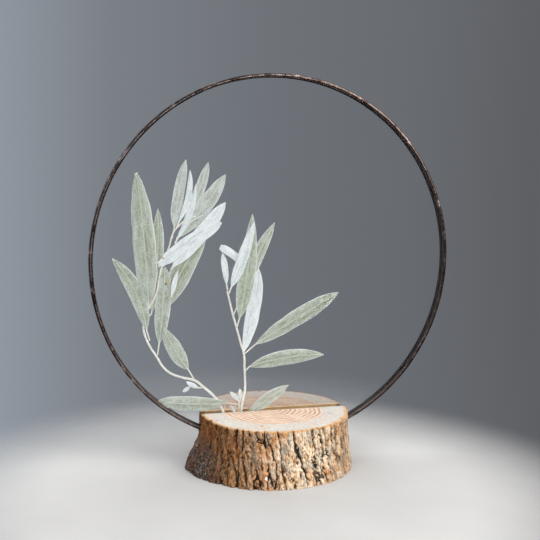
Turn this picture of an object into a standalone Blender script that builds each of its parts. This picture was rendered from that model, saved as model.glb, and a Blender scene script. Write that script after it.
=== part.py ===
"""Pressed flower frame: two sprigs of narrow leaves between two round panes of glass, held by a dark
foil rim that stands in a saw cut across a slice of log. Metres, +Z up. The panes stand in the XZ plane,
the front of the frame faces -Y, and the underside of the log lies at z = 0 below the middle of the panes."""

import math

import bmesh
import bpy
from mathutils import Matrix, Vector

MM = 0.001

# Log slice
LOG_HEIGHT = 29 * MM
LOG_TOP_RADIUS = 41.6 * MM
LOG_FOOT_RADIUS = 46.4 * MM
LOG_SWELL = 1.9 * MM          # how far the section leans out towards LOG_SWELL_ANGLE
LOG_SWELL_ANGLE = math.radians(-122)
ROOT_FLARE = 7.5 * MM         # the start of a root, at the foot on the left
ROOT_ANGLE = math.radians(190)
ROOT_SPREAD = math.radians(26)
BARK_RIDGES = 24
BARK_DEPTH = 0.55 * MM
LOG_SIDES = 144
LOG_ROWS = 6

# Saw cut
SLOT_WIDTH = 6.3 * MM
SLOT_FLOOR = 10.5 * MM
FIT_GAP = 0.3 * MM

# Panes and rim
PANE_RADIUS = 100 * MM
PANE_THICKNESS = 1.5 * MM
PANE_SPACE = 1.9 * MM         # between the panes, where the sprigs lie
RIM_RADIUS = 101.2 * MM
RIM_LIP_RADIUS = 99 * MM      # inner edge of the rim's lips on the faces of the glass
RIM_LIP = 0.3 * MM
RIM_LIP_GAP = 0.1 * MM
RIM_BEAD = 0.45 * MM          # rounding of the rim's two outer corners
ROUND_SIDES = 96

DISC_CENTRE = SLOT_FLOOR + FIT_GAP + RIM_RADIUS

# Sprigs
LEAF_THICKNESS = 0.12 * MM
LAYER_STEP = 0.2 * MM
STEM_FLATNESS = 0.4           # depth of a pressed stem against its width
STALK_WIDTH = 0.7 * MM
TIP_WIDTH = 0.3 * MM
BLADE_STATIONS = 10
STALK_STATIONS = 2

LEFT_STEM_WIDTH = 1.4 * MM
LEFT_STEM = [
    (-25.5, 19.5), (-28.6, 28.1), (-32.8, 36.3), (-40, 43.4), (-44.7, 47.2), (-51.2, 49.1),
    (-57.8, 51.7), (-62.3, 55.8), (-65.4, 61), (-69.1, 66.8), (-71.4, 71.9), (-72.7, 77.6),
    (-71.7, 83.1), (-69.5, 88.2), (-66.9, 93.4), (-65.4, 97.5), (-64.3, 104.4), (-62.1, 112.4),
    (-58.8, 121.2), (-56.8, 127.9), (-53.4, 132.1), (-49.9, 135.3),
]
RIGHT_STEM_WIDTH = 1.3 * MM
RIGHT_STEM = [
    (-18.9, 17.5), (-18.5, 28.3), (-18.1, 32.6), (-17.5, 36), (-16.7, 40.3), (-16.7, 47.8),
    (-17.1, 53.4), (-17.4, 60.7), (-19.1, 66.2), (-21.8, 75.8), (-23.9, 82.9), (-26, 91.3),
    (-27.2, 96.2),
]
SIDE_TWIG_WIDTH = 0.9 * MM
SIDE_TWIG = [(-21.2, 18.5), (-20.3, 26), (-19.9, 31), (-19.8, 34.8)]

# Each leaf: foot of its stalk, foot, middle and tip of its blade, all as (x, z) in millimetres on the panes;
# width of the blade in millimetres; share of its length at which it is widest; fullness (2 is a plain
# almond, more is fuller); layer (0 is the stems', minus is towards the front); True for a silver underside.
LEFT_LEAVES = [
    ((-46.2, 44.4), (-47, 43.9), (-49.3, 42.4), (-51.4, 41.1), 2.3, 0.5, 2.4, 2, True),
    ((-41, 43.1), (-42.9, 43.2), (-46.4, 44.9), (-49.5, 47), 2.8, 0.5, 2.2, -2, True),
    ((-45.3, 48.2), (-48.5, 53.7), (-55.8, 64.7), (-61.9, 77.1), 8.2, 0.45, 2.5, -2, False),
    ((-65.1, 62), (-64.2, 68.7), (-62.1, 90.4), (-61.1, 110), 8.2, 0.5, 3.2, 2, False),
    ((-69.3, 70.4), (-71, 76), (-77, 97.2), (-89.1, 114.8), 8.2, 0.46, 2.4, -2, False),
    ((-69.4, 83.5), (-68.3, 84.6), (-65.3, 112.5), (-64.9, 140.8), 6.8, 0.55, 2.6, 3, False),
    ((-69.8, 88.6), (-69.9, 90), (-72.4, 125.3), (-76.4, 159.5), 11.8, 0.4, 3.0, -3, False),
    ((-62.5, 83.6), (-59.8, 88.2), (-51.7, 108), (-39.1, 127.2), 11.8, 0.46, 2.6, 4, False),
    ((-57.6, 93.4), (-57.5, 94.3), (-56.2, 100.9), (-54.4, 107.8), 2.9, 0.42, 2.0, -2, True),
    ((-58.2, 108.6), (-57.6, 109.4), (-42.6, 126.5), (-28.7, 144.3), 8.0, 0.55, 3.0, -3, True),
    ((-64.9, 109.8), (-64.2, 111), (-48, 123), (-30.9, 133.4), 7.6, 0.5, 5.0, -4, True),
    ((-55.6, 121.4), (-54.7, 125.2), (-40.5, 141.4), (-28.6, 159.1), 8.6, 0.52, 2.5, 3, False),
    ((-56, 122.4), (-54.3, 124.9), (-47.8, 139), (-44.7, 153.7), 3.6, 0.45, 2.6, 2, True),
    ((-52.4, 129.6), (-51.5, 130.5), (-43.8, 147.5), (-38, 165.4), 5.4, 0.62, 2.6, 4, False),
    ((-55.6, 129.8), (-53.9, 133.7), (-48.9, 147), (-48, 161.1), 3.2, 0.5, 3.0, -2, True),
    ((-57.5, 124.8), (-56.1, 131), (-53.8, 149), (-50.1, 166.6), 6.2, 0.42, 3.0, 2, False),
    ((-50.9, 134.6), (-50.3, 134.9), (-47, 136.3), (-43.9, 136.9), 0.9, 0.4, 2.0, -2, True),
    ((-50.6, 132.9), (-49.9, 133.1), (-45.2, 135.2), (-41.1, 137.7), 0.9, 0.4, 2.0, -3, True),
]
RIGHT_LEAVES = [
    ((-20.9, 26.2), (-21.4, 27), (-23.1, 30), (-24.5, 32), 1.9, 0.5, 2.2, -3, True),
    ((-19.4, 32.4), (-26.6, 33.8), (-46.7, 34.4), (-65.6, 37), 8.4, 0.56, 2.4, -2, False),
    ((-16.9, 25), (-15.7, 26.1), (-4, 34.6), (8.4, 42.1), 6.8, 0.52, 2.1, -2, False),
    ((-19.9, 34.2), (-20.1, 34.6), (-22.7, 37.6), (-25.3, 40.1), 2.5, 0.45, 2.3, -3, True),
    ((-19.2, 34.4), (-19.3, 35.1), (-19.4, 38.5), (-19.6, 41.6), 2.4, 0.5, 2.2, -3, True),
    ((-16.5, 51.4), (-14.5, 53.6), (6.9, 58), (28.8, 58.6), 8.3, 0.48, 2.3, -2, False),
    ((-17.1, 61.1), (-11.2, 66), (14, 81), (36.7, 94), 9.4, 0.5, 2.5, -2, False),
    ((-17.5, 60.9), (-17.4, 61.9), (-12.3, 85.2), (-9.7, 108.2), 8.0, 0.55, 3.0, 3, True),
    ((-21.7, 75.8), (-20.2, 81.2), (-15.9, 108.5), (-13.7, 138), 9.4, 0.36, 2.4, -2, False),
    ((-23.6, 82.4), (-21.8, 86.5), (-12.9, 109.4), (-0.9, 133.3), 6.8, 0.6, 2.5, 2, False),
    ((-26.3, 94.8), (-25.1, 98.2), (-18.6, 115.1), (-12.7, 133.6), 6.2, 0.42, 2.6, -3, True),
    ((-15.6, 106.3), (-18.4, 111), (-25.1, 116.6), (-31.3, 120.1), 4.2, 0.5, 8.0, 3, True),
    ((-27.1, 96.6), (-27.6, 99.5), (-28.7, 108.7), (-30.2, 116.8), 3.6, 0.55, 2.4, -2, True),
]
CUT_LEAF = "right_leaf_12"    # its tip was cut off square
CUT_WIDTH = 3.1 * MM


def make_material(name, colour, roughness, metallic=0.0, transmission=0.0):
    material = bpy.data.materials.new(name)
    material.use_nodes = True
    shader = material.node_tree.nodes["Principled BSDF"]
    shader.inputs["Base Color"].default_value = (*colour, 1)
    shader.inputs["Roughness"].default_value = roughness
    shader.inputs["Metallic"].default_value = metallic
    shader.inputs["Transmission Weight"].default_value = transmission
    return material


def add_object(name, mesh_or_curve, material):
    mesh_or_curve.materials.append(material)
    obj = bpy.data.objects.new(name, mesh_or_curve)
    bpy.context.scene.collection.objects.link(obj)
    return obj


def add_mesh(name, bm, material):
    mesh = bpy.data.meshes.new(name)
    bmesh.ops.recalc_face_normals(bm, faces=bm.faces)
    bm.to_mesh(mesh)
    bm.free()
    return add_object(name, mesh, material)


def log_radius(angle, rise):
    """Radius of the log at an angle round it; rise runs from 0 at the foot to 1 at the top."""
    drop = 1 - rise
    radius = LOG_TOP_RADIUS + (LOG_FOOT_RADIUS - LOG_TOP_RADIUS) * drop ** 1.3
    radius += LOG_SWELL * math.cos(angle - LOG_SWELL_ANGLE)
    off_root = math.remainder(angle - ROOT_ANGLE, math.tau) / ROOT_SPREAD
    radius += ROOT_FLARE * math.exp(-off_root ** 2) * drop ** 2.2
    lean = 0.6 * math.sin(3 * angle + 1.5 * rise)
    ridge = abs(math.sin(0.5 * BARK_RIDGES * angle + lean))
    return radius + BARK_DEPTH * (ridge - 1)


def make_log(material):
    bm = bmesh.new()
    bmesh.ops.create_cone(bm, cap_ends=True, segments=LOG_SIDES, radius1=1, radius2=1, depth=1)
    uprights = [e for e in bm.edges if abs(e.verts[0].co.z - e.verts[1].co.z) > 0.5]
    bmesh.ops.subdivide_edges(bm, edges=uprights, cuts=LOG_ROWS - 1)
    for vert in bm.verts:
        rise = vert.co.z + 0.5
        angle = math.atan2(vert.co.y, vert.co.x)
        radius = log_radius(angle, rise)
        vert.co = Vector((radius * math.cos(angle), radius * math.sin(angle), rise * LOG_HEIGHT))
    log = add_mesh("wood_base", bm, material)

    slot = bmesh.new()
    bmesh.ops.create_cube(slot, size=1)
    length = 3 * LOG_FOOT_RADIUS
    bmesh.ops.scale(slot, vec=(length, SLOT_WIDTH, LOG_HEIGHT), verts=slot.verts)
    bmesh.ops.translate(slot, vec=(0, 0, SLOT_FLOOR + LOG_HEIGHT / 2), verts=slot.verts)
    cutter = add_mesh("slot_cutter", slot, material)
    cutter.hide_render = True
    cutter.display_type = "WIRE"
    cut = log.modifiers.new("saw cut", "BOOLEAN")
    cut.operation = "DIFFERENCE"
    cut.object = cutter
    cut.solver = "EXACT"


def make_pane(name, side, material):
    """A round pane; side is -1 for the front one and 1 for the back one."""
    bm = bmesh.new()
    bmesh.ops.create_cone(
        bm, cap_ends=True, segments=ROUND_SIDES,
        radius1=PANE_RADIUS, radius2=PANE_RADIUS, depth=PANE_THICKNESS,
    )
    bmesh.ops.rotate(bm, matrix=Matrix.Rotation(math.pi / 2, 3, "X"), verts=bm.verts)
    middle = side * (PANE_SPACE + PANE_THICKNESS) / 2
    bmesh.ops.translate(bm, vec=(0, middle, DISC_CENTRE), verts=bm.verts)
    return add_mesh(name, bm, material)


def make_rim(material):
    glass_face = PANE_SPACE / 2 + PANE_THICKNESS
    lip_inside = glass_face + RIM_LIP_GAP
    lip_outside = lip_inside + RIM_LIP
    web = PANE_RADIUS + FIT_GAP
    half = [
        (web, lip_inside), (RIM_LIP_RADIUS, lip_inside), (RIM_LIP_RADIUS, lip_outside),
        (RIM_RADIUS - RIM_BEAD, lip_outside), (RIM_RADIUS, lip_outside - RIM_BEAD),
    ]
    section = half + [(radius, -depth) for radius, depth in reversed(half)]
    bm = bmesh.new()
    corners = [bm.verts.new((radius, depth, 0)) for radius, depth in section]
    outline = [bm.edges.new((a, b)) for a, b in zip(corners, corners[1:] + corners[:1])]
    bmesh.ops.spin(
        bm, geom=corners + outline, cent=(0, 0, 0), axis=(0, 1, 0),
        angle=math.tau, steps=ROUND_SIDES, use_merge=True,
    )
    bmesh.ops.remove_doubles(bm, verts=bm.verts, dist=0.01 * MM)
    bmesh.ops.translate(bm, vec=(0, 0, DISC_CENTRE), verts=bm.verts)
    return add_mesh("foil_rim", bm, material)


def make_stem(name, route, width, taper, material):
    """A pressed stem: a round tube along the route, flattened front to back, thinner towards its tip."""
    curve = bpy.data.curves.new(name, "CURVE")
    curve.dimensions = "3D"
    curve.bevel_depth = width / 2
    curve.bevel_resolution = 1
    curve.use_fill_caps = True
    spline = curve.splines.new("POLY")
    spline.points.add(len(route) - 1)
    for index, (point, (x, z)) in enumerate(zip(spline.points, route)):
        point.co = (x * MM, 0, z * MM, 1)
        point.radius = 1 - (1 - taper) * index / (len(route) - 1)
    stem = add_object(name, curve, material)
    stem.scale.y = STEM_FLATNESS
    return stem


def blade_width(share, widest, fullness):
    """Width of a blade as a share of its greatest width, at a share of its length from the foot."""
    side = widest if share < widest else 1 - widest
    off_widest = abs(share - widest) / side
    return max(0.0, 1 - off_widest ** fullness) ** 0.85


def blade_point(foot, middle, tip, share):
    """A point on the smooth line that passes through the foot, the middle and the tip of a blade."""
    control = 2 * middle - (foot + tip) / 2
    return foot.lerp(control, share).lerp(control.lerp(tip, share), share)


def make_leaf(name, leaf, material):
    stalk_foot, foot, middle, tip = (Vector((x, 0, z)) * MM for x, z in leaf[:4])
    width, widest, fullness, layer = leaf[4:8]
    end_width = CUT_WIDTH if name == CUT_LEAF else TIP_WIDTH
    stations = STALK_STATIONS + BLADE_STATIONS
    line = [stalk_foot.lerp(foot, i / STALK_STATIONS) for i in range(STALK_STATIONS)]
    widths = [STALK_WIDTH] * STALK_STATIONS
    for i in range(BLADE_STATIONS + 1):
        share = i / BLADE_STATIONS
        line.append(blade_point(foot, middle, tip, share))
        narrowest = STALK_WIDTH + (end_width - STALK_WIDTH) * share
        widths.append(max(width * MM * blade_width(share, widest, fullness), narrowest))
    if width * MM < 2 * STALK_WIDTH:
        widths = [min(w, width * MM / 2) for w in widths]

    bm = bmesh.new()
    bmesh.ops.create_grid(bm, x_segments=stations, y_segments=2, size=1)
    for vert in bm.verts:
        station = round((vert.co.x + 1) / 2 * stations)
        ahead = line[min(station + 1, stations)] - line[max(station - 1, 0)]
        across = Vector((-ahead.z, 0, ahead.x)).normalized()
        vert.co = line[station] + across * vert.co.y * widths[station] / 2
    faces = bm.faces[:]
    grown = bmesh.ops.extrude_face_region(bm, geom=faces)["geom"]
    far_side = [item for item in grown if isinstance(item, bmesh.types.BMVert)]
    bmesh.ops.translate(bm, vec=(0, LEAF_THICKNESS, 0), verts=far_side)
    bmesh.ops.translate(bm, vec=(0, layer * LAYER_STEP - LEAF_THICKNESS / 2, 0), verts=bm.verts)
    return add_mesh(name, bm, material)


def make_sprig(prefix, leaves):
    for number, leaf in enumerate(leaves, 1):
        name = f"{prefix}_leaf_{number:02d}"
        is_silver = leaf[8]
        if is_silver:
            make_leaf(name, leaf, make_material(name, (0.74, 0.77, 0.77), 0.75))
        else:
            make_leaf(name, leaf, make_material(name, (0.45, 0.50, 0.39), 0.75))


def main():
    for obj in list(bpy.data.objects):
        bpy.data.objects.remove(obj)
    make_log(make_material("bark and sawn wood", (0.42, 0.27, 0.16), 0.85))
    make_pane("front_glass", -1, make_material("front glass", (1, 1, 1), 0.02, transmission=1))
    make_pane("back_glass", 1, make_material("back glass", (1, 1, 1), 0.02, transmission=1))
    make_rim(make_material("dark solder", (0.09, 0.06, 0.045), 0.35, metallic=1))
    stem_colour = (0.72, 0.66, 0.55)
    make_stem("left_stem", LEFT_STEM, LEFT_STEM_WIDTH, 0.55, make_material("left stem", stem_colour, 0.8))
    make_stem("right_stem", RIGHT_STEM, RIGHT_STEM_WIDTH, 0.65, make_material("right stem", stem_colour, 0.8))
    make_stem("right_side_twig", SIDE_TWIG, SIDE_TWIG_WIDTH, 0.8, make_material("side twig", stem_colour, 0.8))
    make_sprig("left", LEFT_LEAVES)
    make_sprig("right", RIGHT_LEAVES)


main()
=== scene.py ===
"""Looks of the pressed flower frame: two sprigs of narrow leaves between round panes with a dark soldered
rim, stood in the saw cut of a slice of log. Metres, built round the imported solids."""
import math
import random

import bmesh
import bpy
from mathutils import Matrix, Vector, noise


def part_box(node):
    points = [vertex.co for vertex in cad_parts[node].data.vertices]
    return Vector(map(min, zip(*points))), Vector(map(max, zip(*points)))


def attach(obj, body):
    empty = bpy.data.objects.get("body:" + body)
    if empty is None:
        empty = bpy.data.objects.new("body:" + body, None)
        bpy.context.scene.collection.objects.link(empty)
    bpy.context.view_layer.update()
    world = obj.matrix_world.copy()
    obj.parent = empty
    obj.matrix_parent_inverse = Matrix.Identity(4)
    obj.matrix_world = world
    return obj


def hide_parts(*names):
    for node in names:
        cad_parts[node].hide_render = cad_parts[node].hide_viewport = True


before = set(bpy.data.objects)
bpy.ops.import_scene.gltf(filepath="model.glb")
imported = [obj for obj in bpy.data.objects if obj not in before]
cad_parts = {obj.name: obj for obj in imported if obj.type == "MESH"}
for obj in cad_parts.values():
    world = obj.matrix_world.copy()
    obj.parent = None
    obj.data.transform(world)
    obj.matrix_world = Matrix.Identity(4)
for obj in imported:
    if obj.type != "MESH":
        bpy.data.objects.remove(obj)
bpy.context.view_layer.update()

MM = 0.001
NOISE_SEED = 1
noise.seed_set(NOISE_SEED)      # without a seed, noise_vector differs from run to run

# Log slice
LOG_TOP_RADIUS = 41.5 * MM
LOG_FOOT_RADIUS = 45.4 * MM
ROUND_STEPS = 840
BARK_ROWS = 68
PLATE_WIDTH = 4.6 * MM
PLATE_STRETCH = 0.10
FURROW_DEPTH = 1.9 * MM
SPLIT_DEPTH = 0.65 * MM
SCALE_DEPTH = 0.6 * MM
LEAN_ANGLE = math.radians(-122)        # the side on which the slice is fullest
ROOT_ANGLE = math.radians(190)         # the start of a root, at the foot
ROOT_SPREAD = math.radians(26)
UPRIGHT_ANGLE = math.radians(15)       # the side on which the foot spreads least
KERF_WIDTH = 6.3 * MM
BARK_GLINT = (-15.6 * MM, 5.6 * MM)    # a small white painted glint on the front of the bark, as (x, z)

# Rim
RIM_STEPS = 720
RIM_LIP = 2.2 * MM            # reach of the solder on the face of the glass
LIP_GAP = 0.04 * MM

# Leaves
LEAF_THICKNESS = 0.12 * MM
STALK_WIDTH = 0.75 * MM
TIP_WIDTH = 0.25 * MM
BLADE_STATIONS = 46
STALK_STATIONS = 8
ACROSS = 12
VEIN_SPACING = 2.2 * MM       # between side veins, along the midrib
VEIN_SLANT = 1.2 * MM         # how far out a vein reaches for each such step along


# Finishes ---------------------------------------------------------------------------------------------

class Finish:
    """A procedural material: one Principled shader and the nodes that feed it."""

    def __init__(self, name, roughness=0.6, metallic=0.0):
        self.material = bpy.data.materials.new(name)
        self.material.use_nodes = True
        self.nodes = self.material.node_tree.nodes
        self.links = self.material.node_tree.links
        self.shader = self.nodes["Principled BSDF"]
        self.shader.inputs["Roughness"].default_value = roughness
        self.shader.inputs["Metallic"].default_value = metallic
        self.place = self.nodes.new("ShaderNodeTexCoord").outputs["Object"]

    def feed(self, socket, source):
        if isinstance(source, bpy.types.NodeSocket):
            self.links.new(source, socket)
        elif socket.type == "RGBA":
            socket.default_value = (*source, 1)
        else:
            socket.default_value = source

    def set(self, name, source):
        self.feed(self.shader.inputs[name], source)

    def scaled(self, vector, scale=(1, 1, 1), shift=(0, 0, 0)):
        node = self.nodes.new("ShaderNodeMapping")
        self.feed(node.inputs["Vector"], vector)
        node.inputs["Scale"].default_value = scale
        node.inputs["Location"].default_value = shift
        return node.outputs["Vector"]

    def grain(self, vector, size, detail=3.0, rough=0.55, distortion=0.0):
        """Cloudy noise whose patches are about size metres across."""
        node = self.nodes.new("ShaderNodeTexNoise")
        self.feed(node.inputs["Vector"], vector)
        node.inputs["Scale"].default_value = 1 / size
        node.inputs["Detail"].default_value = detail
        node.inputs["Roughness"].default_value = rough
        node.inputs["Distortion"].default_value = distortion
        return node.outputs["Fac"]

    def cells(self, vector, size):
        node = self.nodes.new("ShaderNodeTexVoronoi")
        self.feed(node.inputs["Vector"], vector)
        node.inputs["Scale"].default_value = 1 / size
        return node.outputs["Distance"]

    def held(self, name):
        """A value that the piece carries at each of its points."""
        node = self.nodes.new("ShaderNodeAttribute")
        node.attribute_name = name
        return node.outputs["Fac"]

    def parts(self, vector):
        node = self.nodes.new("ShaderNodeSeparateXYZ")
        self.feed(node.inputs[0], vector)
        return node.outputs

    def sum(self, operation, first, second=0.0):
        node = self.nodes.new("ShaderNodeMath")
        node.operation = operation
        for socket, source in zip(node.inputs, (first, second)):
            self.feed(socket, source)
        return node.outputs[0]

    def length(self, first, second):
        """Length of the flat vector (first, second)."""
        squares = [self.sum("MULTIPLY", part, part) for part in (first, second)]
        return self.sum("SQRT", self.sum("ADD", *squares))

    def between(self, value, low, high, out_low=0.0, out_high=1.0):
        """Where value lies from low to high, eased, as 0 to 1."""
        node = self.nodes.new("ShaderNodeMapRange")
        node.interpolation_type = "SMOOTHSTEP"
        self.feed(node.inputs["Value"], value)
        limits = {"From Min": low, "From Max": high, "To Min": out_low, "To Max": out_high}
        for name, number in limits.items():
            node.inputs[name].default_value = number
        return node.outputs["Result"]

    def ramp(self, factor, *stops):
        node = self.nodes.new("ShaderNodeValToRGB")
        self.feed(node.inputs["Fac"], factor)
        elements = node.color_ramp.elements
        while len(elements) < len(stops):
            elements.new(0.5)
        for element, (position, colour) in zip(elements, stops):
            element.position = position
            element.color = (*colour, 1)
        return node.outputs["Color"]

    def tint(self, factor, first, second, how="MIX"):
        node = self.nodes.new("ShaderNodeMix")
        node.data_type = "RGBA"
        node.blend_type = how
        self.feed(node.inputs[0], factor)
        self.feed(node.inputs[6], first)
        self.feed(node.inputs[7], second)
        return node.outputs[2]

    def relief(self, height, depth):
        node = self.nodes.new("ShaderNodeBump")
        node.inputs["Strength"].default_value = 1.0
        node.inputs["Distance"].default_value = depth
        self.feed(node.inputs["Height"], height)
        if self.shader.inputs["Normal"].is_linked:
            self.links.new(self.shader.inputs["Normal"].links[0].from_socket, node.inputs["Normal"])
        self.links.new(node.outputs["Normal"], self.shader.inputs["Normal"])


def bark_finish():
    """Cracked bark: brown plates, some of them orange, with grey and pale flakes. Painted shade darkens both sides,
    the furrows and the root, and a small white glint is painted on the front.
    """
    finish = Finish("rugged bark", 0.95)
    finish.set("Specular IOR Level", 0.15)
    upright = finish.scaled(finish.place, scale=(1, 1, 0.3))
    flakes = finish.grain(upright, 1.8 * MM, 5, 0.7)
    fine = finish.grain(finish.scaled(finish.place, scale=(1, 1, 0.5)), 0.8 * MM, 4, 0.75)
    plate_patch = finish.grain(finish.scaled(finish.place, scale=(1, 1, 0.22)), 5 * MM, 2, 0.5, 0.4)
    aside = finish.scaled(finish.place, scale=(1, 1, 0.3), shift=(0.05, 0.02, 0))
    grey_patch = finish.grain(aside, 4 * MM, 3, 0.6)
    proud = finish.held("proud")
    shade = finish.sum("ADD", finish.sum("MULTIPLY", flakes, 0.60), finish.sum("MULTIPLY", proud, 0.40))
    plate = finish.ramp(
        shade, (0.30, (0.075, 0.045, 0.024)), (0.40, (0.24, 0.145, 0.078)), (0.48, (0.44, 0.285, 0.16)),
        (0.57, (0.60, 0.43, 0.275)), (0.68, (0.74, 0.60, 0.45)),
    )
    orange = finish.tint(finish.between(flakes, 0.35, 0.62), (0.33, 0.135, 0.042), (0.72, 0.37, 0.15))
    bark = finish.tint(finish.between(plate_patch, 0.50, 0.62, 0.0, 0.72), plate, orange)
    grey = finish.tint(finish.between(fine, 0.38, 0.62), (0.15, 0.135, 0.10), (0.55, 0.51, 0.43))
    bark = finish.tint(finish.between(grey_patch, 0.50, 0.60, 0.0, 0.70), bark, grey)
    bark = finish.tint(finish.between(fine, 0.56, 0.66, 0.0, 0.55), bark, (0.70, 0.61, 0.48))
    bark = finish.tint(finish.between(fine, 0.43, 0.34, 0.0, 0.75), bark, (0.075, 0.052, 0.038))
    x, _, z = finish.parts(finish.place)
    # Painted shade darkens and warms the left side of the bark.
    shade_side = finish.between(x, 4 * MM, -38 * MM)
    bark = finish.tint(shade_side, bark, (0.44, 0.27, 0.15), "MULTIPLY")
    # Painted shade darkens the right side of the bark.
    bark = finish.tint(finish.between(x, 6 * MM, 34 * MM, 0.0, 0.85), bark, (0.56, 0.53, 0.50), "MULTIPLY")
    far_left, low_down = finish.between(x, -30 * MM, -46 * MM), finish.between(z, 24 * MM, 10 * MM)
    at_root = finish.sum("MULTIPLY", far_left, low_down)
    # Painted shade darkens the foot of the bark on the far left, at the root.
    bark = finish.tint(finish.sum("MULTIPLY", at_root, 0.85), bark, (0.25, 0.25, 0.25), "MULTIPLY")
    lichen = finish.sum("MULTIPLY", finish.between(fine, 0.52, 0.62, 0.0, 0.8), at_root)
    bark = finish.tint(lichen, bark, (0.22, 0.26, 0.28))
    furrow = finish.held("furrow")
    depth = finish.sum("ADD", furrow, finish.sum("MULTIPLY", fine, 0.3))
    # Painted shade darkens the furrows nearly to black.
    bark = finish.tint(finish.between(depth, 0.46, 0.84, 0.0, 0.94), bark, (0.032, 0.021, 0.014))
    glint_x, glint_z = BARK_GLINT
    off_glint = finish.length(finish.sum("SUBTRACT", x, glint_x), finish.sum("SUBTRACT", z, glint_z))
    on_glint = finish.between(off_glint, 1.0 * MM, 0.5 * MM)
    # Painted highlight: a small white glint on the front of the bark.
    bark = finish.tint(on_glint, bark, (0.85, 0.86, 0.88))
    bark = finish.tint(finish.held("rind"), bark, (0.55, 0.30, 0.13))
    finish.set("Base Color", bark)
    finish.relief(flakes, 0.5 * MM)
    finish.relief(fine, 0.35 * MM)
    return finish.material


def end_grain_finish():
    """The sawn top: pale sapwood round a brown heart, with growth rings, a strip of painted light just behind the
    saw cut and painted shade over the back half.
    """
    finish = Finish("sawn end grain", 0.62)
    x, y, _ = finish.parts(finish.scaled(finish.place, shift=(1.2 * MM, 1 * MM, 0)))
    flat = finish.length(x, y)
    sway = finish.grain(finish.place, 30 * MM, 2)
    radius = finish.sum("ADD", flat, finish.sum("MULTIPLY", finish.sum("SUBTRACT", sway, 0.5), 7 * MM))
    wander = finish.sum("MULTIPLY", finish.grain(finish.place, 12 * MM, 2), 1.5)
    late = {}
    for name, spacing in (("broad", 2.7 * MM), ("narrow", 1.15 * MM)):
        ring = finish.sum("FRACT", finish.sum("ADD", finish.sum("MULTIPLY", radius, 1 / spacing), wander))
        late[name] = finish.sum("MULTIPLY", finish.between(ring, 0.30, 0.88), finish.between(ring, 1.0, 0.93))
    uneven = finish.between(finish.grain(finish.place, 9 * MM, 2), 0.33, 0.62, 0.3, 1.0)
    broad = finish.sum("MULTIPLY", late["broad"], uneven)
    streak = finish.grain(finish.place, 1.3 * MM, 4, 0.65)
    heart = finish.ramp(streak, (0.3, (0.52, 0.36, 0.25)), (0.7, (0.78, 0.62, 0.49)))
    heart = finish.tint(finish.sum("MULTIPLY", broad, 0.88), heart, (0.25, 0.125, 0.065))
    heart = finish.tint(finish.sum("MULTIPLY", late["narrow"], 0.35), heart, (0.36, 0.20, 0.12))
    sap = finish.ramp(streak, (0.3, (0.38, 0.33, 0.265)), (0.62, (0.54, 0.51, 0.465)))
    blush = finish.sum("MULTIPLY", broad, finish.between(finish.grain(finish.place, 13 * MM, 2), 0.42, 0.62))
    sap = finish.tint(finish.sum("MULTIPLY", blush, 0.85), sap, (0.52, 0.33, 0.23))
    marks = finish.cells(finish.scaled(finish.place, scale=(1, 1, 0.2)), 9 * MM)
    sap = finish.tint(finish.between(marks, 0.13, 0.05, 0.0, 0.85), sap, (0.24, 0.12, 0.07))
    edge = finish.sum("ADD", radius, finish.sum("MULTIPLY", finish.grain(finish.place, 9 * MM, 3), 1.4 * MM))
    wood = finish.tint(finish.between(edge, 28.9 * MM, 30.0 * MM), heart, sap)
    wood = finish.tint(finish.held("rind"), wood, (0.50, 0.27, 0.11))
    _, back, _ = finish.parts(finish.place)
    fade_back, fade_front = finish.between(back, 4.6 * MM, 4.1 * MM), finish.between(back, 2.9 * MM, 3.1 * MM)
    # Painted light: a bright orange strip on the top just behind the saw cut stands in for the lit far wall of the
    # cut.
    lip = finish.sum("MULTIPLY", fade_back, fade_front)
    wood = finish.tint(lip, wood, (0.92, 0.55, 0.25))
    # Painted shade: the top behind the saw cut is darkened a little.
    wood = finish.tint(finish.between(back, 4.2 * MM, 4.8 * MM), wood, (0.84, 0.80, 0.77), "MULTIPLY")
    finish.set("Base Color", wood)
    finish.relief(streak, 0.06 * MM)
    return finish.material


def kerf_finish():
    """The walls of the saw cut: orange wood brightened by painted light near the top, browner below and at
    the cut's ends.
    """
    finish = Finish("saw cut wall", 0.8)
    lengthwise = finish.scaled(finish.place, scale=(0.6, 1, 0.15))
    grain = finish.grain(lengthwise, 2.5 * MM, 4, 0.6)
    # Painted light: the wall near the top, away from the cut's ends, is brightened to a bright orange.
    painted_lit_wood = finish.ramp(grain, (0.3, (0.88, 0.52, 0.23)), (0.7, (0.98, 0.68, 0.37)))
    browner_wood = finish.ramp(grain, (0.3, (0.30, 0.18, 0.10)), (0.7, (0.48, 0.31, 0.18)))
    x, _, z = finish.parts(finish.place)
    near_top = finish.between(z, 19.5 * MM, 22 * MM)
    inside = finish.between(finish.sum("ABSOLUTE", x), 39.5 * MM, 37.5 * MM)
    finish.set("Base Color", finish.tint(finish.sum("MULTIPLY", near_top, inside), browner_wood, painted_lit_wood))
    finish.relief(finish.grain(finish.scaled(finish.place, scale=(0.1, 1, 1)), 0.8 * MM, 2), 0.15 * MM)
    return finish.material


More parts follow.
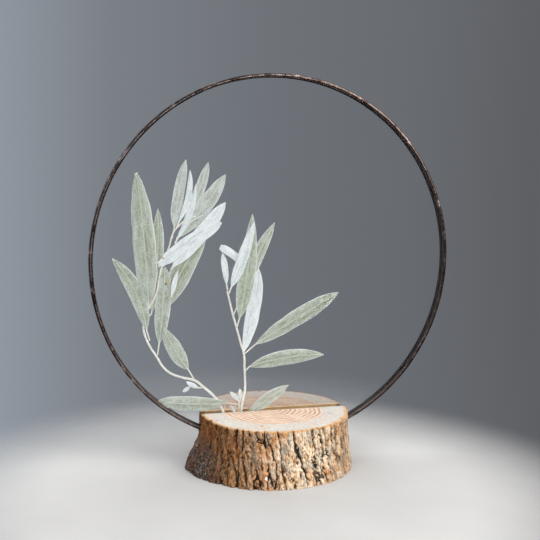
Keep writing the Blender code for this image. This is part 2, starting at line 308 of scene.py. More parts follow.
def solder_finish():
    """Dark patinated solder, nearly black with brown blotches. A thin line of bare copper runs along its inner
    edge, a painted highlight runs along the crown of the bead, mostly on its upper left, and the foil between
    the panes' edges is dull."""
    finish = Finish("dark solder", 0.3, 1.0)
    blotch = finish.grain(finish.place, 5 * MM, 3, 0.55)
    colour = finish.ramp(
        blotch, (0.38, (0.022, 0.015, 0.013)), (0.57, (0.062, 0.042, 0.036)), (0.75, (0.30, 0.235, 0.21)),
    )
    colour = finish.tint(finish.sum("MULTIPLY", finish.held("inner"), 0.7), colour, (0.36, 0.24, 0.20))
    painted_crown_glint = finish.between(finish.grain(finish.place, 8 * MM, 3, 0.6), 0.36, 0.56, 0.15, 0.85)
    x, y, z = finish.parts(finish.place)
    painted_crown_glint = finish.sum("MULTIPLY", painted_crown_glint, finish.between(z, 60 * MM, 150 * MM, 0.3, 1.0))
    painted_crown_glint = finish.sum("MULTIPLY", painted_crown_glint, finish.between(x, -10 * MM, 55 * MM, 1.0, 0.2))
    # Painted highlight: a bright line along the crown of the bead, strongest on its upper left.
    colour = finish.tint(finish.sum("MULTIPLY", finish.held("crown"), painted_crown_glint), colour, (0.66, 0.55, 0.52))
    hidden = finish.between(finish.sum("ABSOLUTE", y), 2.62 * MM, 2.54 * MM)
    hidden = finish.sum("MULTIPLY", hidden, finish.held("web"))
    finish.set("Base Color", finish.tint(hidden, colour, (0.040, 0.026, 0.021)))
    finish.set("Metallic", finish.sum("SUBTRACT", 1.0, hidden))
    polish = finish.between(finish.grain(finish.place, 1.5 * MM, 3), 0.3, 0.7, 0.2, 0.38)
    finish.set("Roughness", finish.sum("MAXIMUM", polish, finish.sum("MULTIPLY", hidden, 0.8)))
    finish.relief(finish.grain(finish.place, 2.6 * MM, 2), 0.08 * MM)
    return finish.material


def glass_finish():
    finish = Finish("clear glass", 0.0)
    finish.set("Transmission Weight", 1.0)
    finish.set("IOR", 1.36)
    cloud = finish.grain(finish.place, 60 * MM, 2)
    finish.set("Base Color", finish.ramp(cloud, (0.3, (0.985, 0.992, 0.995)), (0.7, (0.995, 0.998, 1.0))))
    return finish.material


def stem_finish():
    finish = Finish("dry pale stem", 0.7)
    long_grain = finish.grain(finish.place, 1.2 * MM, 4, 0.6)
    colour = finish.ramp(
        long_grain, (0.3, (0.68, 0.61, 0.50)), (0.45, (0.88, 0.85, 0.76)), (0.65, (0.95, 0.94, 0.89)))
    finish.set("Base Color", colour)
    finish.relief(long_grain, 0.1 * MM)
    return finish.material


def leaf_finish(name, dark, light, frost, rib, grey, marks=()):
    """Leaf skin that follows the blade: darker and mottled along its middle, paler at its edges, with a fine
    midrib with painted shade beside it, faint side veins, long thin creases with painted shade in them and
    painted highlights between them, and a few marks, each as (x, z), size and colour."""
    finish = Finish(name, 0.72)
    along, across = finish.held("along"), finish.held("across")
    off_rib = finish.sum("ABSOLUTE", across)

    def on_blade(stretch):
        combine = finish.nodes.new("ShaderNodeCombineXYZ")
        finish.feed(combine.inputs[0], finish.sum("MULTIPLY", along, stretch))
        finish.feed(combine.inputs[1], across)
        finish.feed(combine.inputs[2], finish.held("tone"))
        return combine.outputs[0]

    mottle = finish.grain(on_blade(0.32), 1.5 * MM, 5, 0.66)
    patch = finish.grain(on_blade(0.5), 5 * MM, 2)
    blend = finish.sum("ADD", finish.sum("MULTIPLY", mottle, 0.65), finish.sum("MULTIPLY", patch, 0.35))
    base = finish.tint(finish.between(blend, 0.36, 0.62), dark, light)
    base = finish.tint(finish.held("cast"), base, finish.tint(finish.between(blend, 0.36, 0.64), grey, frost))
    base = finish.tint(finish.between(finish.held("margin"), 0.35, 0.95, 0.0, 0.42), base, frost)
    streak = finish.grain(on_blade(0.05), 0.55 * MM, 3, 0.6)
    near_rib = finish.between(off_rib, 2.6 * MM, 0.5 * MM, 0.15, 1.0)
    # Painted shade darkens thin creases near the midrib, and painted highlights lighten the streaks between them.
    painted_crease_shade = finish.sum("MULTIPLY", finish.between(streak, 0.45, 0.33, 0.0, 0.62), near_rib)
    base = finish.tint(painted_crease_shade, base, tuple(0.55 * part for part in dark))
    shine = finish.sum("MULTIPLY", finish.between(streak, 0.56, 0.68, 0.0, 0.55), near_rib)
    base = finish.tint(shine, base, frost)
    vein_run = finish.sum(
        "SUBTRACT", finish.sum("MULTIPLY", along, 1 / VEIN_SPACING), finish.sum("MULTIPLY", off_rib, 1 / VEIN_SLANT))
    wavy = finish.sum("ADD", vein_run, finish.sum("MULTIPLY", mottle, 0.7))
    vein = finish.sum("ABSOLUTE", finish.sum("SUBTRACT", finish.sum("FRACT", wavy), 0.5))
    base = finish.tint(finish.between(vein, 0.12, 0.02, 0.0, 0.22), base, frost)
    fleck = finish.grain(finish.place, 0.75 * MM, 3, 0.75)
    base = finish.tint(finish.between(fleck, 0.53, 0.66, 0.0, 0.65), base, frost)
    base = finish.tint(finish.between(fleck, 0.46, 0.33, 0.0, 0.75), base, tuple(0.8 * part for part in dark))
    base = finish.tint(finish.between(finish.held("margin"), 0.86, 1.0, 0.0, 0.95), base, (0.86, 0.90, 0.87))
    by_rib = finish.between(off_rib, 0.55 * MM, 0.2 * MM, 0.0, 0.35)
    rib_shade = finish.sum("MULTIPLY", by_rib, finish.between(patch, 0.3, 0.6))
    base = finish.tint(rib_shade, base, dark)
    base = finish.tint(finish.between(off_rib, 0.30 * MM, 0.12 * MM, 0.0, 0.75), base, rib)
    base = finish.tint(finish.sum("MULTIPLY", finish.held("stalk"), 0.85), base, (0.88, 0.85, 0.76))
    x, _, z = finish.parts(finish.place)
    for (mark_x, mark_z), size, colour in marks:
        aside = finish.sum("SUBTRACT", x, mark_x * MM)
        above = finish.sum("SUBTRACT", z, mark_z * MM)
        off = finish.sum("ADD", finish.length(aside, above), finish.sum("MULTIPLY", fleck, 0.9 * MM))
        on_mark = finish.between(off, (size + 0.7) * MM, (0.4 * size + 0.45) * MM, 0.0, 0.85)
        base = finish.tint(on_mark, base, colour)
    finish.set("Base Color", base)
    finish.set("Sheen Weight", 0.15)
    finish.set("Specular IOR Level", 0.25)
    finish.relief(mottle, 0.14 * MM)
    finish.relief(streak, 0.10 * MM)
    finish.relief(vein, 0.04 * MM)
    return finish.material


# Pieces -----------------------------------------------------------------------------------------------

def finish_piece(name, bm, *materials, smooth=True):
    mesh = bpy.data.meshes.new(name)
    bm.to_mesh(mesh)
    bm.free()
    for material in materials:
        mesh.materials.append(material)
    mesh.polygons.foreach_set("use_smooth", [smooth] * len(mesh.polygons))
    piece = bpy.data.objects.new(name, mesh)
    bpy.context.scene.collection.objects.link(piece)
    return piece


def hold(mesh, name, values):
    mesh.attributes.new(name, "FLOAT", "POINT").data.foreach_set("value", values)


def ease(low, high, value):
    share = min(1.0, max(0.0, (value - low) / (high - low)))
    return share * share * (3 - 2 * share)


def log_outline(angle, rise):
    """Radius of the log before its bark's relief; rise runs from 0 at the foot to 1 at the top."""
    drop = min(1.0, max(0.0, 1 - rise))
    lean = math.cos(angle - LEAN_ANGLE)
    off_left = math.remainder(angle - math.pi, math.tau)
    left = math.exp(-(off_left / 0.6) ** 2)
    off_right = math.remainder(angle - UPRIGHT_ANGLE, math.tau)
    right = math.exp(-(off_right / 0.8) ** 2)
    top = LOG_TOP_RADIUS + (1.9 * lean - 1.6 * left) * MM
    foot = LOG_FOOT_RADIUS + (4.0 * lean - 2.8 * left - 1.5 * right) * MM
    radius = top + (foot - top) * drop ** (1.5 + 1.9 * left)
    off_bulge = math.remainder(angle - LEAN_ANGLE, math.tau)
    radius += 1.6 * MM * math.exp(-(off_bulge / 0.42) ** 2)
    off_root = math.remainder(angle - ROOT_ANGLE, math.tau)
    radius += 5.6 * MM * math.exp(-(off_root / ROOT_SPREAD) ** 2) * ease(0.42, 0.92, drop)
    return radius


def bark_relief(angle, height):
    """How far the bark stands in from the outline, how deep in a furrow it is, and how proud, each 0 to 1."""
    slant = 0.07 + 0.08 * math.cos(angle + 2.3)
    turned = angle + slant * (height - 0.015) / LOG_TOP_RADIUS
    across = Vector((math.cos(turned), math.sin(turned), 0)) * (LOG_TOP_RADIUS / PLATE_WIDTH)
    rise = height / PLATE_WIDTH
    ragged = noise.noise_vector(Vector((across.x, across.y, rise * 0.8)) * 3.1) * 0.11
    ragged += noise.noise_vector(Vector((across.x, across.y, rise)) * 8) * 0.03
    wander = noise.noise_vector(Vector((across.x, across.y, rise * 0.4)) * 1.1 + Vector((7, 1, 3))) * 0.22
    spot = Vector((across.x, across.y, rise * PLATE_STRETCH)) + wander + ragged
    plate = abs(noise.noise(spot * 1.15))
    furrow = 1 - ease(0.005, 0.10, plate)
    crack_spot = Vector((across.x, across.y, rise * 0.22)) * 2.6 + Vector((3, 9, 4)) + ragged * 2.2
    broken = ease(-0.05, 0.3, noise.noise(Vector((across.x, across.y, rise * 0.3)) * 0.8 + Vector((1, 4, 0))))
    split = (1 - ease(0.01, 0.13, abs(noise.noise(crack_spot)))) * broken
    flake_spot = Vector((across.x, across.y, rise * 0.34)) * 2.2 + Vector((5, 5, 5)) + ragged * 1.5
    step = noise.noise(flake_spot) * 4.5
    level = math.floor(step)
    flake = (level + ease(0.0, 0.2, step - level)) / 4.5
    rough = noise.fractal(Vector((across.x, across.y, rise * 0.5)) * 5.0, 0.45, 2.3, 4)
    proud = flake * 0.8 + rough * 0.85
    crown = 0.4 * MM * ease(0.1, 0.5, plate)
    depth = FURROW_DEPTH * furrow + SPLIT_DEPTH * split * (1 - furrow) - SCALE_DEPTH * proud - crown
    return depth, min(1.0, furrow + 0.65 * split), min(1.0, max(0.0, 0.5 + 0.75 * proud))


def extrude_ring(bm, edges):
    """Extrude a ring of edges, and return the new edges and points."""
    grown = bmesh.ops.extrude_edge_only(bm, edges=edges)["geom"]
    new_edges = [part for part in grown if isinstance(part, bmesh.types.BMEdge)]
    new_verts = [part for part in grown if isinstance(part, bmesh.types.BMVert)]
    return new_edges, new_verts


def make_log():
    low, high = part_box("wood_base")
    height = high.z - low.z
    bm = bmesh.new()
    bmesh.ops.create_circle(bm, segments=ROUND_STEPS, radius=1)
    loop = bm.edges[:]
    for _ in range(BARK_ROWS):
        loop, grown = extrude_ring(bm, loop)
        bmesh.ops.translate(bm, vec=(0, 0, height / BARK_ROWS), verts=grown)
    for vert in bm.verts:
        angle = math.atan2(vert.co.y, vert.co.x)
        rise = vert.co.z / height
        depth = bark_relief(angle, vert.co.z)[0]
        radius = log_outline(angle, rise) - depth
        vert.co.x, vert.co.y = radius * math.cos(angle), radius * math.sin(angle)
    top = loop
    ring_share = (0.975, 0.955, 0.93, 0.88, 0.75, 0.5)
    last = 1.0
    for share in ring_share:
        top, grown = extrude_ring(bm, top)
        bmesh.ops.scale(bm, vec=(share / last, share / last, 1), verts=grown)
        last = share
    bmesh.ops.edgeloop_fill(bm, edges=top)
    foot = [e for e in bm.edges if e.is_boundary]
    bmesh.ops.edgeloop_fill(bm, edges=foot)
    bmesh.ops.recalc_face_normals(bm, faces=bm.faces)
    for face in bm.faces:
        middle = face.calc_center_median()
        face.material_index = 1 if middle.z > height - 0.01 * MM or middle.z < 0.01 * MM else 0
    bark, end_grain, kerf = bark_finish(), end_grain_finish(), kerf_finish()
    log = finish_piece("log_slice", bm, bark, end_grain, kerf)

    cut = bmesh.new()
    bmesh.ops.create_cube(cut, size=1)
    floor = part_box("foil_rim")[0].z - 0.3 * MM
    bmesh.ops.scale(cut, vec=(0.16, KERF_WIDTH, 0.04), verts=cut.verts)
    bmesh.ops.translate(cut, vec=(0, 0, floor + 0.02), verts=cut.verts)
    for face in cut.faces:
        face.material_index = 2
    cutter = finish_piece("kerf_cutter", cut, bark, end_grain, kerf)
    sawn = log.modifiers.new("saw cut", "BOOLEAN")
    sawn.operation = "DIFFERENCE"
    sawn.solver = "EXACT"
    sawn.object = cutter
    bpy.context.view_layer.update()
    mesh = bpy.data.meshes.new_from_object(log.evaluated_get(bpy.context.evaluated_depsgraph_get()))
    log.modifiers.clear()
    log.data = mesh
    bpy.data.objects.remove(cutter)

    furrows, prouds, rinds = [], [], []
    for vert in mesh.vertices:
        point = vert.co
        angle = math.atan2(point.y, point.x)
        rise = min(1.0, max(0.0, point.z / height))
        depth, furrow, proud = bark_relief(angle, point.z)
        furrows.append(furrow)
        prouds.append(proud)
        inward = (log_outline(angle, rise) - math.hypot(point.x, point.y)) / MM
        from_top = (height - point.z) / MM
        if from_top < 0.05:
            rinds.append(1 - ease(0.0, 1.6, inward - max(0.0, depth / MM)))
        else:
            rinds.append(1 - ease(0.2, 1.1, from_top))
    hold(mesh, "furrow", furrows)
    hold(mesh, "proud", prouds)
    hold(mesh, "rind", rinds)
    mesh.polygons.foreach_set("use_smooth", [p.material_index == 0 for p in mesh.polygons])
    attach(log, "root")
    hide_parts("wood_base")


def make_rim():
    low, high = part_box("foil_rim")
    centre = (low + high) / 2
    outer = (high.x - low.x) / 2
    half = (high.y - low.y) / 2
    pane_low, pane_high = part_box("front_glass")
    pane_face = -pane_low.y
    lip = RIM_LIP
    # Half of the section, from the front lip's inside corner over its round bead to the middle of the edge.
    bead = half + 0.16 * MM - pane_face
    section = [(outer - lip, pane_face + LIP_GAP)]
    for step in range(1, 10):
        turn = math.pi * step / 10
        section.append((outer - lip / 2 - 0.5 * lip * math.cos(turn), pane_face + bead * math.sin(turn) ** 0.8))
    section += [(outer - 0.02 * MM, half - 0.7 * MM), (outer, half - 1.9 * MM)]
    whole = [(r, -d) for r, d in section] + [(outer + 0.02 * MM, 0)] + [(r, d) for r, d in reversed(section)]
    edge_of_glass = pane_high.x + 0.2 * MM
    whole += [(edge_of_glass, pane_face + LIP_GAP), (edge_of_glass, -pane_face - LIP_GAP)]
    bm = bmesh.new()
    corners = [bm.verts.new((r, d, 0)) for r, d in whole]
    edges = [bm.edges.new((a, b)) for a, b in zip(corners, corners[1:] + corners[:1])]
    bmesh.ops.spin(
        bm, geom=corners + edges, cent=(0, 0, 0), axis=(0, 1, 0), angle=math.tau, steps=RIM_STEPS, use_merge=True)
    bmesh.ops.remove_doubles(bm, verts=bm.verts, dist=0.001 * MM)
    for vert in bm.verts:
        radius = math.hypot(vert.co.x, vert.co.z)
        angle = math.atan2(vert.co.z, vert.co.x)
        on_lip = abs(vert.co.y) > pane_face + 0.1 * MM
        on_edge = radius > outer - 0.8 * MM
        if radius > outer - lip - 0.2 * MM and (on_lip or on_edge):
            lump = noise.fractal(vert.co / (3.2 * MM), 0.8, 2.1, 3) * 0.11 * MM
            lump += noise.noise(vert.co / (9 * MM)) * 0.2 * MM
            inner = ease(outer - lip + 0.9 * MM, outer - lip - 0.1 * MM, radius)
            wide = 0.45 * math.sin(angle) - 0.65 + 0.4 * noise.noise(vert.co / (14 * MM))
            grow = lump * 0.5 - inner * wide * MM
            scale = (radius + grow) / radius
            vert.co.x *= scale
            vert.co.z *= scale
            vert.co.y += math.copysign(lump * 0.5, vert.co.y) if abs(vert.co.y) > half * 0.7 else 0
    bmesh.ops.recalc_face_normals(bm, faces=bm.faces)
    bmesh.ops.translate(bm, vec=centre, verts=bm.verts)
    rim = finish_piece("soldered_rim", bm, solder_finish())
    reaches = [math.hypot(v.co.x - centre.x, v.co.z - centre.z) for v in rim.data.vertices]
    hold(rim.data, "web", [1 - ease(outer - 0.9 * MM, outer - 0.5 * MM, reach) for reach in reaches])
    middles = [1 - ease(0.10 * MM, 0.36 * MM, abs(reach - outer + lip / 2)) for reach in reaches]
    hold(rim.data, "crown", middles)
    hold(rim.data, "inner", [1 - ease(outer - lip, outer - lip + 0.45 * MM, reach) for reach in reaches])
    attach(rim, "root")
    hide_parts("foil_rim")


def dress_panes():
    glass = glass_finish()
    for name in ("front_glass", "back_glass"):
        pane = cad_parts[name]
        for slot in pane.material_slots:
            slot.material = glass


# Sprigs: each leaf as the foot of its stalk, then foot, middle and tip of its blade, as (x, z) in
# millimetres on the panes; width in millimetres; share of its length at which it is widest; fullness
# (2 is a plain almond, more is fuller); True for the silver underside.
LEAVES = {
    "left_leaf_01": ((-46.2, 44.4), (-47, 43.9), (-49.3, 42.4), (-51.4, 41.1), 2.3, 0.5, 2.4, True),
    "left_leaf_02": ((-41, 43.1), (-42.9, 43.2), (-46.4, 44.9), (-49.5, 47), 2.8, 0.5, 2.2, True),
    "left_leaf_03": ((-45.3, 48.2), (-48.5, 53.7), (-55.8, 64.7), (-61.9, 77.1), 8.2, 0.45, 2.5, False),
    "left_leaf_04": ((-65.1, 62), (-64.2, 68.7), (-62.1, 90.4), (-61.1, 110), 8.2, 0.5, 3.2, False),
    "left_leaf_05": ((-69.3, 70.4), (-71, 76), (-77, 97.2), (-89.1, 114.8), 8.2, 0.46, 2.4, False),
    "left_leaf_06": ((-69.4, 83.5), (-68.3, 84.6), (-65.3, 112.5), (-64.9, 140.8), 6.8, 0.55, 2.6, False),
    "left_leaf_07": ((-69.8, 88.6), (-69.9, 90), (-72.4, 125.3), (-76.4, 159.5), 11.8, 0.4, 3.0, False),
    "left_leaf_08": ((-62.5, 83.6), (-59.8, 88.2), (-51.7, 108), (-39.1, 127.2), 11.8, 0.46, 2.6, False),
    "left_leaf_09": ((-57.6, 93.4), (-57.5, 94.3), (-56.2, 100.9), (-54.4, 107.8), 2.9, 0.42, 2.0, True),
    "left_leaf_10": ((-58.2, 108.6), (-57.6, 109.4), (-42.6, 126.5), (-28.7, 144.3), 8.0, 0.55, 3.0, True),
    "left_leaf_11": ((-64.9, 109.8), (-64.2, 111), (-48, 123), (-30.9, 133.4), 7.6, 0.5, 5.0, True),
    "left_leaf_12": ((-55.6, 121.4), (-54.7, 125.2), (-40.5, 141.4), (-28.6, 159.1), 8.6, 0.52, 2.5, False),
    "left_leaf_13": ((-56, 122.4), (-54.3, 124.9), (-47.8, 139), (-44.7, 153.7), 3.6, 0.45, 2.6, True),
    "left_leaf_14": ((-52.4, 129.6), (-51.5, 130.5), (-43.8, 147.5), (-38, 165.4), 5.4, 0.62, 2.6, False),
    "left_leaf_15": ((-55.6, 129.8), (-53.9, 133.7), (-48.9, 147), (-48, 161.1), 3.2, 0.5, 3.0, True),
    "left_leaf_16": ((-57.5, 124.8), (-56.1, 131), (-53.8, 149), (-50.1, 166.6), 6.2, 0.42, 3.0, False),
    "left_leaf_17": ((-50.9, 134.6), (-50.3, 134.9), (-47, 136.3), (-43.9, 136.9), 0.9, 0.4, 2.0, True),
    "left_leaf_18": ((-50.6, 132.9), (-49.9, 133.1), (-45.2, 135.2), (-41.1, 137.7), 0.9, 0.4, 2.0, True),
    "right_leaf_01": ((-20.9, 26.2), (-21.4, 27), (-23.1, 30), (-24.5, 32), 1.9, 0.5, 2.2, True),
    "right_leaf_02": ((-19.4, 32.4), (-26.6, 33.8), (-46.7, 34.4), (-65.6, 37), 8.4, 0.56, 2.4, False),
    "right_leaf_03": ((-16.9, 25), (-15.7, 26.1), (-4, 34.6), (8.4, 42.1), 6.8, 0.52, 2.1, False),
    "right_leaf_04": ((-19.9, 34.2), (-20.1, 34.6), (-22.7, 37.6), (-25.3, 40.1), 2.5, 0.45, 2.3, True),
    "right_leaf_05": ((-19.2, 34.4), (-19.3, 35.1), (-19.4, 38.5), (-19.6, 41.6), 2.4, 0.5, 2.2, True),
    "right_leaf_06": ((-16.5, 51.4), (-14.5, 53.6), (6.9, 58), (28.8, 58.6), 8.3, 0.48, 2.3, False),
    "right_leaf_07": ((-17.1, 61.1), (-11.2, 66), (14, 81), (36.7, 94), 9.4, 0.5, 2.5, False),
    "right_leaf_08": ((-17.5, 60.9), (-17.4, 61.9), (-12.3, 85.2), (-9.7, 108.2), 8.0, 0.55, 3.0, True),
    "right_leaf_09": ((-21.7, 75.8), (-20.2, 81.2), (-15.9, 108.5), (-13.7, 138), 9.4, 0.36, 2.4, False),
    "right_leaf_10": ((-23.6, 82.4), (-21.8, 86.5), (-12.9, 109.4), (-0.9, 133.3), 6.8, 0.6, 2.5, False),
    "right_leaf_11": ((-26.3, 94.8), (-25.1, 98.2), (-18.6, 115.1), (-12.7, 133.6), 6.2, 0.42, 2.6, True),
    "right_leaf_12": ((-15.6, 106.3), (-18.4, 111), (-25.1, 116.6), (-31.3, 120.1), 4.2, 0.5, 8.0, True),
    "right_leaf_13": ((-27.1, 96.6), (-27.6, 99.5), (-28.7, 108.7), (-30.2, 116.8), 3.6, 0.55, 2.4, True),
}

# Each stem: width at its foot in millimetres, its tip's share of that width, and its route as (x, z).
STEMS = {
    "left_stem": (1.6, 0.45, [
        (-25.5, 19.5), (-28.6, 28.1), (-32.8, 36.3), (-40, 43.4), (-44.7, 47.2), (-51.2, 49.1),
        (-57.8, 51.7), (-62.3, 55.8), (-65.4, 61), (-69.1, 66.8), (-71.4, 71.9), (-72.7, 77.6),
        (-71.7, 83.1), (-69.5, 88.2), (-66.9, 93.4), (-65.4, 97.5), (-64.3, 104.4), (-62.1, 112.4),
        (-58.8, 121.2), (-56.8, 127.9), (-53.4, 132.1), (-49.9, 135.3)]),
    "right_stem": (1.5, 0.7, [
        (-18.9, 17.5), (-18.5, 28.3), (-18.1, 32.6), (-17.5, 36), (-16.7, 40.3), (-16.7, 47.8),
        (-17.1, 53.4), (-17.4, 60.7), (-19.1, 66.2), (-21.8, 75.8), (-23.9, 82.9), (-26, 91.3),
        (-27.2, 96.2)]),
    "right_side_twig": (1.0, 0.8, [(-21.2, 18.5), (-20.3, 26), (-19.9, 31), (-19.8, 34.8)]),
}

# How far a leaf leans to grey, 0 to 1; the others take PLAIN_CAST.
PLAIN_CAST = 0.15
GREY_CAST = {
    "left_leaf_12": 0.75, "left_leaf_14": 0.85, "left_leaf_16": 1.0, "left_leaf_08": 0.0, "left_leaf_06": 0.1,
    "left_leaf_04": 0.3, "left_leaf_03": 0.3, "right_leaf_02": 0.3, "right_leaf_09": 0.0, "right_leaf_03": 0.4,
}
BROAD_FEET = {"left_leaf_11": 4.2 * MM}
BLUNT_TIPS = {"left_leaf_07": 1.9 * MM, "left_leaf_11": 1.0 * MM, "right_leaf_12": 3.1 * MM}
# Marks on the leaves, each as its place (x, z) and size in millimetres, and its colour.
SAGE_MARKS = [
    ((-59.3, 102.3), 0.9, (0.62, 0.52, 0.16)), ((-60.6, 100.6), 0.7, (0.16, 0.14, 0.06)),
    ((-50.6, 64.2), 0.6, (0.12, 0.13, 0.07)), ((-77.6, 157.3), 0.6, (0.28, 0.20, 0.09)),
]
SILVER_MARKS = [((-62.4, 114.6), 0.7, (0.60, 0.34, 0.14))]


def blade_width(share, widest, fullness):
    side = widest if share < widest else 1 - widest
    return max(0.0, 1 - (abs(share - widest) / side) ** fullness) ** 0.85


def make_leaf(name, leaf, finish):
    stalk_foot, foot, middle, tip = (Vector((x, 0, z)) * MM for x, z in leaf[:4])
    width, widest, fullness, silver_side = leaf[4:]
    low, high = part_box(name)
    lie = (low.y + high.y) / 2
    rng = random.Random(name)
    phase = Vector((rng.uniform(0, 50), rng.uniform(0, 50), rng.uniform(0, 50)))
    control = 2 * middle - (foot + tip) / 2
    stations = STALK_STATIONS + BLADE_STATIONS
    foot_width = BROAD_FEET.get(name, STALK_WIDTH)
    end_width = BLUNT_TIPS.get(name, TIP_WIDTH)
    line, widths, shares = [], [], []
    for i in range(stations + 1):
        if i < STALK_STATIONS:
            share = 0.0
            line.append(stalk_foot.lerp(foot, i / STALK_STATIONS))
            widths.append(STALK_WIDTH)
        else:
            share = (i - STALK_STATIONS) / BLADE_STATIONS
            line.append(foot.lerp(control, share).lerp(control.lerp(tip, share), share))
            narrow = foot_width + (end_width - foot_width) * share
            widths.append(max(width * MM * blade_width(share, widest, fullness), narrow))
        shares.append(share)
    if width * MM < 2 * STALK_WIDTH:
        widths = [min(w, width * MM / 2) for w in widths]
    run = [0.0]
    for a, b in zip(line, line[1:]):
        run.append(run[-1] + (b - a).length)

    bm = bmesh.new()
    along, across, margin, tone, cast, stalk = (
        bm.verts.layers.float.new(layer) for layer in ("along", "across", "margin", "tone", "cast", "stalk"))
    bmesh.ops.create_grid(bm, x_segments=stations, y_segments=ACROSS, size=1)
    tone_value = rng.uniform(0, 0.4)
    for vert in bm.verts:
        station = round((vert.co.x + 1) / 2 * stations)
        side = vert.co.y
        ahead = (line[min(station + 1, stations)] - line[max(station - 1, 0)]).normalized()
        outward = Vector((-ahead.z, 0, ahead.x))
        reach = widths[station] / 2
        wobble = noise.noise(phase + Vector((run[station] / (7 * MM), math.copysign(3, side), 0)))
        reach *= 1 + 0.09 * wobble * (widths[station] > 2 * STALK_WIDTH)
        vert[along] = run[station]
        vert[across] = side * reach
        vert[margin] = abs(side)
        vert[tone] = tone_value
        vert[cast] = GREY_CAST.get(name, PLAIN_CAST)
        vert[stalk] = 1 - ease(STALK_STATIONS - 1, STALK_STATIONS + 2, station)
        vert.co = line[station] + outward * side * reach
    grown = bmesh.ops.extrude_face_region(bm, geom=bm.faces[:])["geom"]
    far_side = {g for g in grown if isinstance(g, bmesh.types.BMVert)}
    for vert in bm.verts:
        off_rib = abs(vert[across])
        rib = math.exp(-(off_rib / (0.3 * MM)) ** 2)
        thick = LEAF_THICKNESS * (1 - 0.5 * vert[margin] ** 4) + 0.10 * MM * rib
        buckle = noise.noise(phase + vert.co / (6 * MM)) * 0.05 * MM * (1 - rib)
        vert.co.y = lie + buckle + (thick / 2 if vert in far_side else -thick / 2)
    bmesh.ops.recalc_face_normals(bm, faces=bm.faces)
    piece = finish_piece(name.replace("leaf", "leaf_blade"), bm, finish)
    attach(piece, "root")
    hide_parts(name)


def make_stem(name, width, taper, route, finish):
    curve = bpy.data.curves.new(name, "CURVE")
    curve.dimensions = "3D"
    curve.bevel_depth = width / 2 * MM
    curve.bevel_resolution = 3
    curve.use_fill_caps = True
    curve.resolution_u = 8
    spline = curve.splines.new("BEZIER")
    spline.bezier_points.add(len(route) - 1)
    for index, (point, (x, z)) in enumerate(zip(spline.bezier_points, route)):
        point.co = (x * MM, 0, z * MM)
        point.handle_left_type = point.handle_right_type = "AUTO"
        point.radius = 1 - (1 - taper) * index / (len(route) - 1)
    guide = bpy.data.objects.new(name, curve)
    bm = bmesh.new()
    bm.from_mesh(guide.to_mesh())
    bpy.data.objects.remove(guide)
    bmesh.ops.remove_doubles(bm, verts=bm.verts, dist=0.001 * MM)
    for vert in bm.verts:
        vert.co += noise.noise_vector(vert.co / (1.6 * MM)) * 0.07 * MM
        vert.co.y *= 0.42
    bmesh.ops.recalc_face_normals(bm, faces=bm.faces)
    piece = finish_piece(name.replace("stem", "stalk").replace("twig", "shoot"), bm, finish)
    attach(piece, "root")
    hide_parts(name)


# Stage ------------------------------------------------------------------------------------------------

FLOOR_RADIUS = 0.45
FLOOR_FADE = (0.10, 0.20)     # how far out the floor starts to fade, and where it is gone


def floor_finish():
    finish = Finish("pale floor", 0.7)
    x, y, _ = finish.parts(finish.scaled(finish.place, shift=(0.02, 0.045, 0)))
    cloud = finish.grain(finish.place, 0.05, 2)
    finish.set("Base Color", finish.ramp(cloud, (0.3, (0.36, 0.35, 0.335)), (0.7, (0.39, 0.38, 0.365))))
    finish.set("Alpha", finish.between(finish.length(x, y), *FLOOR_FADE, 1.0, 0.0))
    return finish.material


def make_stage():
    bm = bmesh.new()
    bmesh.ops.create_circle(bm, cap_ends=True, segments=96, radius=FLOOR_RADIUS)
    floor = finish_piece("floor", bm, floor_finish(), smooth=False)


def add_light(name, place, aim, size, power, colour):
    light = bpy.data.lights.new(name, "AREA")
    light.shape = "SQUARE"
    light.size = size
    light.energy = power
    light.color = colour
    lamp = bpy.data.objects.new(name, light)
    lamp.location = place
    lamp.rotation_euler = (Vector(aim) - Vector(place)).to_track_quat("-Z", "Y").to_euler()
    bpy.context.scene.collection.objects.link(lamp)


# Colour of the room, from far left (0) through straight ahead (0.5) to far right (1).
WORLD_STOPS = (
    (0.0, (0.50, 0.54, 0.60)), (0.36, (0.45, 0.49, 0.55)), (0.47, (0.30, 0.335, 0.382)),
    (0.545, (0.200, 0.217, 0.242)), (0.63, (0.158, 0.171, 0.19)), (0.70, (0.14, 0.15, 0.165)),
    (0.76, (0.112, 0.115, 0.124)),
)
OVERHEAD_COLOUR = (2.3, 2.35, 2.45)
OVERHEAD_EDGE = (0.60, 0.88)  # height of a direction at which the bright ceiling starts and is full


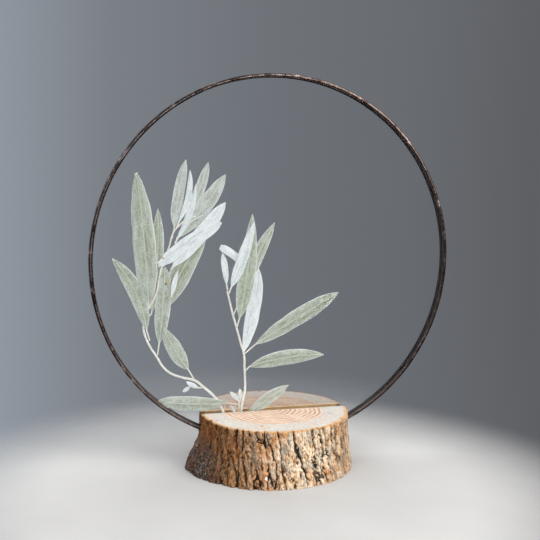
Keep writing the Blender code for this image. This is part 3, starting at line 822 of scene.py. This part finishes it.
def light_studio():
    world = bpy.data.worlds.new("studio")
    bpy.context.scene.world = world
    world.use_nodes = True
    nodes, links = world.node_tree.nodes, world.node_tree.links
    direction = nodes.new("ShaderNodeTexCoord").outputs["Generated"]
    split = nodes.new("ShaderNodeSeparateXYZ")
    links.new(direction, split.inputs[0])
    ramp = nodes.new("ShaderNodeValToRGB")
    while len(ramp.color_ramp.elements) < len(WORLD_STOPS):
        ramp.color_ramp.elements.new(0.5)
    for element, (position, colour) in zip(ramp.color_ramp.elements, WORLD_STOPS):
        element.position = position
        element.color = (*colour, 1)
    shift = nodes.new("ShaderNodeMapRange")
    shift.inputs["From Min"].default_value = -1
    links.new(split.outputs[0], shift.inputs["Value"])
    links.new(shift.outputs["Result"], ramp.inputs["Fac"])
    overhead = nodes.new("ShaderNodeMapRange")
    overhead.interpolation_type = "SMOOTHSTEP"
    overhead.inputs["From Min"].default_value = OVERHEAD_EDGE[0]
    overhead.inputs["From Max"].default_value = OVERHEAD_EDGE[1]
    links.new(split.outputs[2], overhead.inputs["Value"])
    mix = nodes.new("ShaderNodeMix")
    mix.data_type = "RGBA"
    links.new(overhead.outputs["Result"], mix.inputs[0])
    links.new(ramp.outputs["Color"], mix.inputs[6])
    mix.inputs[7].default_value = (*OVERHEAD_COLOUR, 1)
    links.new(mix.outputs[2], nodes["Background"].inputs["Color"])
    aim = (0, 0, 0.09)
    add_light("window", (1.0, -1.1, 0.85), aim, 1.0, 41, (1.0, 0.985, 0.96))
    add_light("ceiling", (0.35, 0.8, 1.35), aim, 1.3, 4, (0.97, 0.985, 1.0))
    add_light("left fill", (-1.2, -0.95, 0.95), aim, 1.2, 8, (0.93, 0.96, 1.0))


CAMERA_PLACE = (-0.1322, -0.4732, 0.1672)
CAMERA_YAW = math.radians(-15.25)
CAMERA_PITCH = math.radians(90 - 6.98)
CAMERA_ROLL = math.radians(0.91)
CAMERA_LENS = 60              # in millimetres, on a sensor 36 mm wide


def place_camera():
    data = bpy.data.cameras.new("camera")
    data.lens = CAMERA_LENS
    data.sensor_width = 36
    camera = bpy.data.objects.new("camera", data)
    bpy.context.scene.collection.objects.link(camera)
    camera.matrix_world = (
        Matrix.Translation(CAMERA_PLACE) @ Matrix.Rotation(CAMERA_YAW, 4, "Z")
        @ Matrix.Rotation(CAMERA_PITCH, 4, "X") @ Matrix.Rotation(CAMERA_ROLL, 4, "Z")
    )
    bpy.context.scene.camera = camera


bpy.context.scene.view_settings.view_transform = "Standard"
place_camera()
make_stage()
light_studio()
make_log()
make_rim()
dress_panes()
sage = leaf_finish(
    "sage leaf", dark=(0.30, 0.33, 0.215), light=(0.49, 0.535, 0.41), frost=(0.72, 0.78, 0.74),
    rib=(0.76, 0.79, 0.70), grey=(0.47, 0.475, 0.44), marks=SAGE_MARKS)
silver = leaf_finish(
    "silver leaf", dark=(0.68, 0.745, 0.74), light=(0.92, 0.965, 0.96), frost=(0.95, 0.98, 0.98),
    rib=(0.92, 0.95, 0.93), grey=(0.75, 0.80, 0.80), marks=SILVER_MARKS)
for leaf_name, leaf_row in LEAVES.items():
    make_leaf(leaf_name, leaf_row, silver if leaf_row[-1] else sage)
stem = stem_finish()
for stem_name, (stem_width, stem_taper, stem_route) in STEMS.items():
    make_stem(stem_name, stem_width, stem_taper, stem_route, stem)

bpy.context.view_layer.update()
